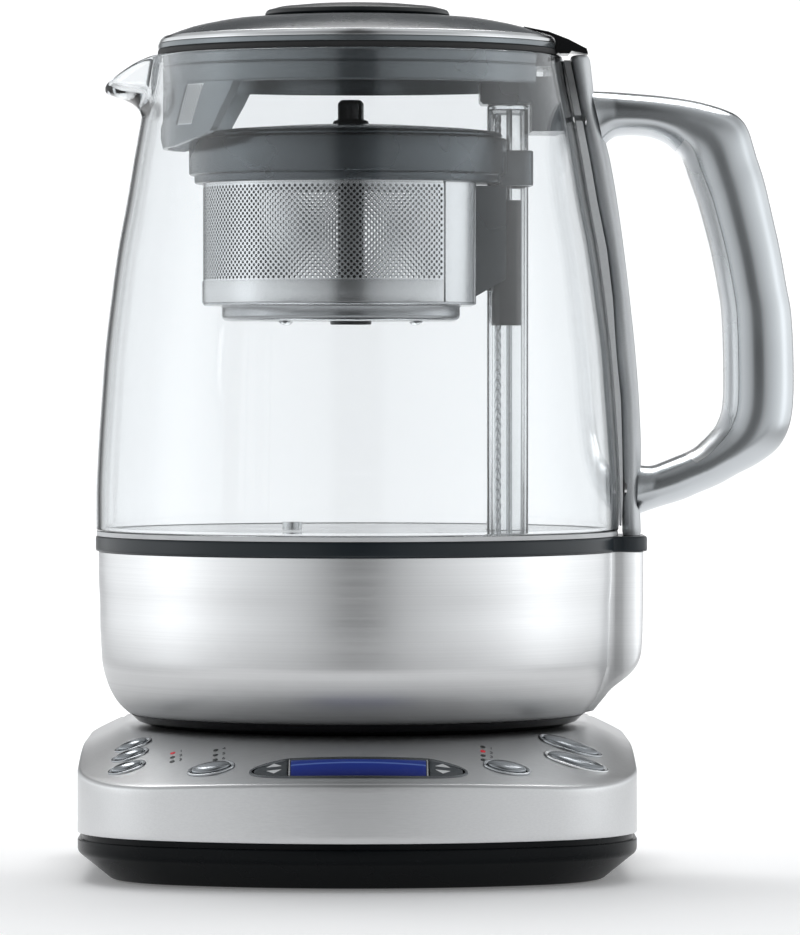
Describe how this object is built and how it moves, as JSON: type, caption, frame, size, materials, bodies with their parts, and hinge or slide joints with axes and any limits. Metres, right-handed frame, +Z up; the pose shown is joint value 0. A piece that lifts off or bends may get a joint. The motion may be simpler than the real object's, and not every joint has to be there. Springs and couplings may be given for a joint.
{
  "type": "automatic tea maker",
  "caption": "Glass tea jug with a steel skirt, lift-off lid and a motor-lifted tea basket, on a push-button power base.",
  "frame": {"origin": "centre of the whole object's box, on the table under the rubber feet", "axes": "+X from the jug to its handle, +Y from the control panel to the back, +Z up"},
  "size_m": [0.2163, 0.188, 0.263],
  "materials": {
    "base_pan": "satin moulded",
    "base_shell": "horizontally brushed",
    "base_feet": "matte",
    "base_screws": "zinc plated",
    "cord_gland": "matte",
    "coupler_housing": "satin",
    "coupler_contacts": "polished",
    "control_board": "solder mask",
    "power_board": "solder mask",
    "display_module": "matte",
    "display_window": "clear cover over a blue backlight",
    "display_frame": "satin",
    "led_lenses": "clear dome",
    "button_bezels": "bright",
    "jug_connector": "matte",
    "jug_foot": "satin",
    "foot_screws": "zinc plated",
    "jug_skirt": "horizontally brushed",
    "collar_ring": "satin",
    "heater_plate": "satin",
    "heating_element": "as cast",
    "temp_sensor": "polished",
    "vessel_seal": "silicone",
    "glass_vessel": "clear borosilicate",
    "column_tube": "clear plastic tube",
    "guide_rod": "ground",
    "column_bracket": "satin",
    "lift_motor": "plated can",
    "drive_belt": "matte",
    "handle_spine": "satin",
    "spine_core": "matte",
    "handle_shell": "satin cast",
    "handle_liner": "bright satin",
    "handle_screws": "zinc plated",
    "lead_screw": "rolled thread",
    "motor_pulley": "machined",
    "carriage": "matte",
    "magnets": "nickel plated",
    "basket_ring": "satin",
    "basket_bracket": "satin",
    "basket_wall": "etched sieve sheet",
    "basket_floor": "drawn sheet",
    "basket_lid": "satin",
    "basket_stem": "gloss black",
    "lid_cap": "satin",
    "lid_band": "satin",
    "lid_knob": "satin",
    "lid_skirt": "satin",
    "lid_seal": "silicone",
    "spout_filter": "mesh",
    "lid_tail": "satin",
    "temperature_rocker": "satin",
    "time_rocker": "satin",
    "auto_start_button": "metallic dome",
    "keep_warm_button": "metallic dome",
    "basket_button": "metallic dome",
    "tea_type_button": "metallic dome",
    "strength_button": "metallic dome",
    "hot_water_button": "metallic dome",
    "brew_button": "metallic dome"
  },
  "bodies": {
    "power_base": {"base_pan": "base_pan", "base_shell": "base_shell", "base_feet": "base_feet", "base_screws": "base_screws", "cord_gland": "cord_gland", "coupler_housing": "coupler_housing", "coupler_contacts": "coupler_contacts", "control_board": "control_board", "power_board": "power_board", "display_module": "display_module", "display_window": "display_window", "display_frame": "display_frame", "led_lenses": "led_lenses", "button_bezels": "button_bezels"},
    "jug_coupler": {"jug_connector": "jug_connector"},
    "jug": {"jug_foot": "jug_foot", "foot_screws": "foot_screws", "jug_skirt": "jug_skirt", "collar_ring": "collar_ring", "heater_plate": "heater_plate", "heating_element": "heating_element", "temp_sensor": "temp_sensor", "vessel_seal": "vessel_seal", "glass_vessel": "glass_vessel", "column_tube": "column_tube", "guide_rod": "guide_rod", "column_bracket": "column_bracket", "lift_motor": "lift_motor", "drive_belt": "drive_belt", "handle_spine": "handle_spine", "spine_core": "spine_core", "handle_shell": "handle_shell", "handle_liner": "handle_liner", "handle_screws": "handle_screws"},
    "lead_screw": {"lead_screw": "lead_screw"},
    "motor_pulley": {"motor_pulley": "motor_pulley"},
    "basket": {"carriage": "carriage", "magnets": "magnets", "basket_ring": "basket_ring", "basket_bracket": "basket_bracket", "basket_wall": "basket_wall", "basket_floor": "basket_floor"},
    "basket_lid": {"basket_lid": "basket_lid", "basket_stem": "basket_stem"},
    "lid": {"lid_cap": "lid_cap", "lid_band": "lid_band", "lid_knob": "lid_knob", "lid_skirt": "lid_skirt", "lid_seal": "lid_seal", "spout_filter": "spout_filter", "lid_tail": "lid_tail"},
    "temperature_rocker": {"temperature_rocker": "temperature_rocker"},
    "time_rocker": {"time_rocker": "time_rocker"},
    "auto_start_button": {"auto_start_button": "auto_start_button"},
    "keep_warm_button": {"keep_warm_button": "keep_warm_button"},
    "basket_button": {"basket_button": "basket_button"},
    "tea_type_button": {"tea_type_button": "tea_type_button"},
    "strength_button": {"strength_button": "strength_button"},
    "hot_water_button": {"hot_water_button": "hot_water_button"},
    "brew_button": {"brew_button": "brew_button"}
  },
  "joints": [
    {"name": "auto_start_press", "type": "slide", "parent": "power_base", "child": "auto_start_button", "axis": [0.3122, 0.207, -0.9272], "range_m": [0, 0.0008], "stiffness_N_per_m": 400},
    {"name": "keep_warm_press", "type": "slide", "parent": "power_base", "child": "keep_warm_button", "axis": [0.2932, 0.2332, -0.9272], "range_m": [0, 0.0008], "stiffness_N_per_m": 400},
    {"name": "basket_press", "type": "slide", "parent": "power_base", "child": "basket_button", "axis": [0.2724, 0.2572, -0.9272], "range_m": [0, 0.0008], "stiffness_N_per_m": 400},
    {"name": "tea_type_press", "type": "slide", "parent": "power_base", "child": "tea_type_button", "axis": [0.175, 0.3312, -0.9272], "range_m": [0, 0.0008], "stiffness_N_per_m": 400},
    {"name": "strength_press", "type": "slide", "parent": "power_base", "child": "strength_button", "axis": [-0.1796, 0.3288, -0.9272], "range_m": [0, 0.0008], "stiffness_N_per_m": 400},
    {"name": "hot_water_press", "type": "slide", "parent": "power_base", "child": "hot_water_button", "axis": [-0.2962, 0.2293, -0.9272], "range_m": [0, 0.0008], "stiffness_N_per_m": 400},
    {"name": "brew_press", "type": "slide", "parent": "power_base", "child": "brew_button", "axis": [-0.2696, 0.26, -0.9272], "range_m": [0, 0.0008], "stiffness_N_per_m": 400},
    {"name": "temperature_rock", "type": "hinge", "parent": "power_base", "child": "temperature_rocker", "pos_m": [-0.0498, -0.082, 0.03302], "axis": [1, 0, 0], "range_deg": [-2, 2], "stiffness_Nm_per_rad": 0.3},
    {"name": "time_rock", "type": "hinge", "parent": "power_base", "child": "time_rocker", "pos_m": [0.0008, -0.082, 0.03296], "axis": [1, 0, 0], "range_deg": [-2, 2], "stiffness_Nm_per_rad": 0.3},
    {"name": "jug_lift", "type": "slide", "parent": "power_base", "child": "jug_coupler", "axis": [0, 0, 1], "range_m": [0, 0.06]},
    {"name": "jug_swivel", "type": "hinge", "parent": "jug_coupler", "child": "jug", "pos_m": [-0.0248, 0.006, 0.06], "axis": [0, 0, 1], "continuous": true},
    {"name": "lid_lift", "type": "slide", "parent": "jug", "child": "lid", "axis": [0, 0, 1], "range_m": [0, 0.06]},
    {"name": "basket_lift", "type": "slide", "parent": "jug", "child": "basket", "axis": [0, 0, 1], "range_m": [-0.052, 0]},
    {"name": "screw_turn", "type": "hinge", "parent": "jug", "child": "lead_screw", "pos_m": [0.0179, 0.006, 0.06], "axis": [0, 0, 1], "range_deg": [-5, 1570]},
    {"name": "motor_turn", "type": "hinge", "parent": "jug", "child": "motor_pulley", "pos_m": [0.0412, 0.006, 0.06], "axis": [0, 0, 1], "range_deg": [-5, 1570]},
    {"name": "basket_lid_lift", "type": "slide", "parent": "basket", "child": "basket_lid", "axis": [0, 0, 1], "range_m": [0, 0.006]}
  ],
  "couplings": [
    {"joint": "screw_turn", "follows": "basket_lift", "rad_per_m": -523.6},
    {"joint": "motor_turn", "follows": "basket_lift", "rad_per_m": -523.6}
  ]
}
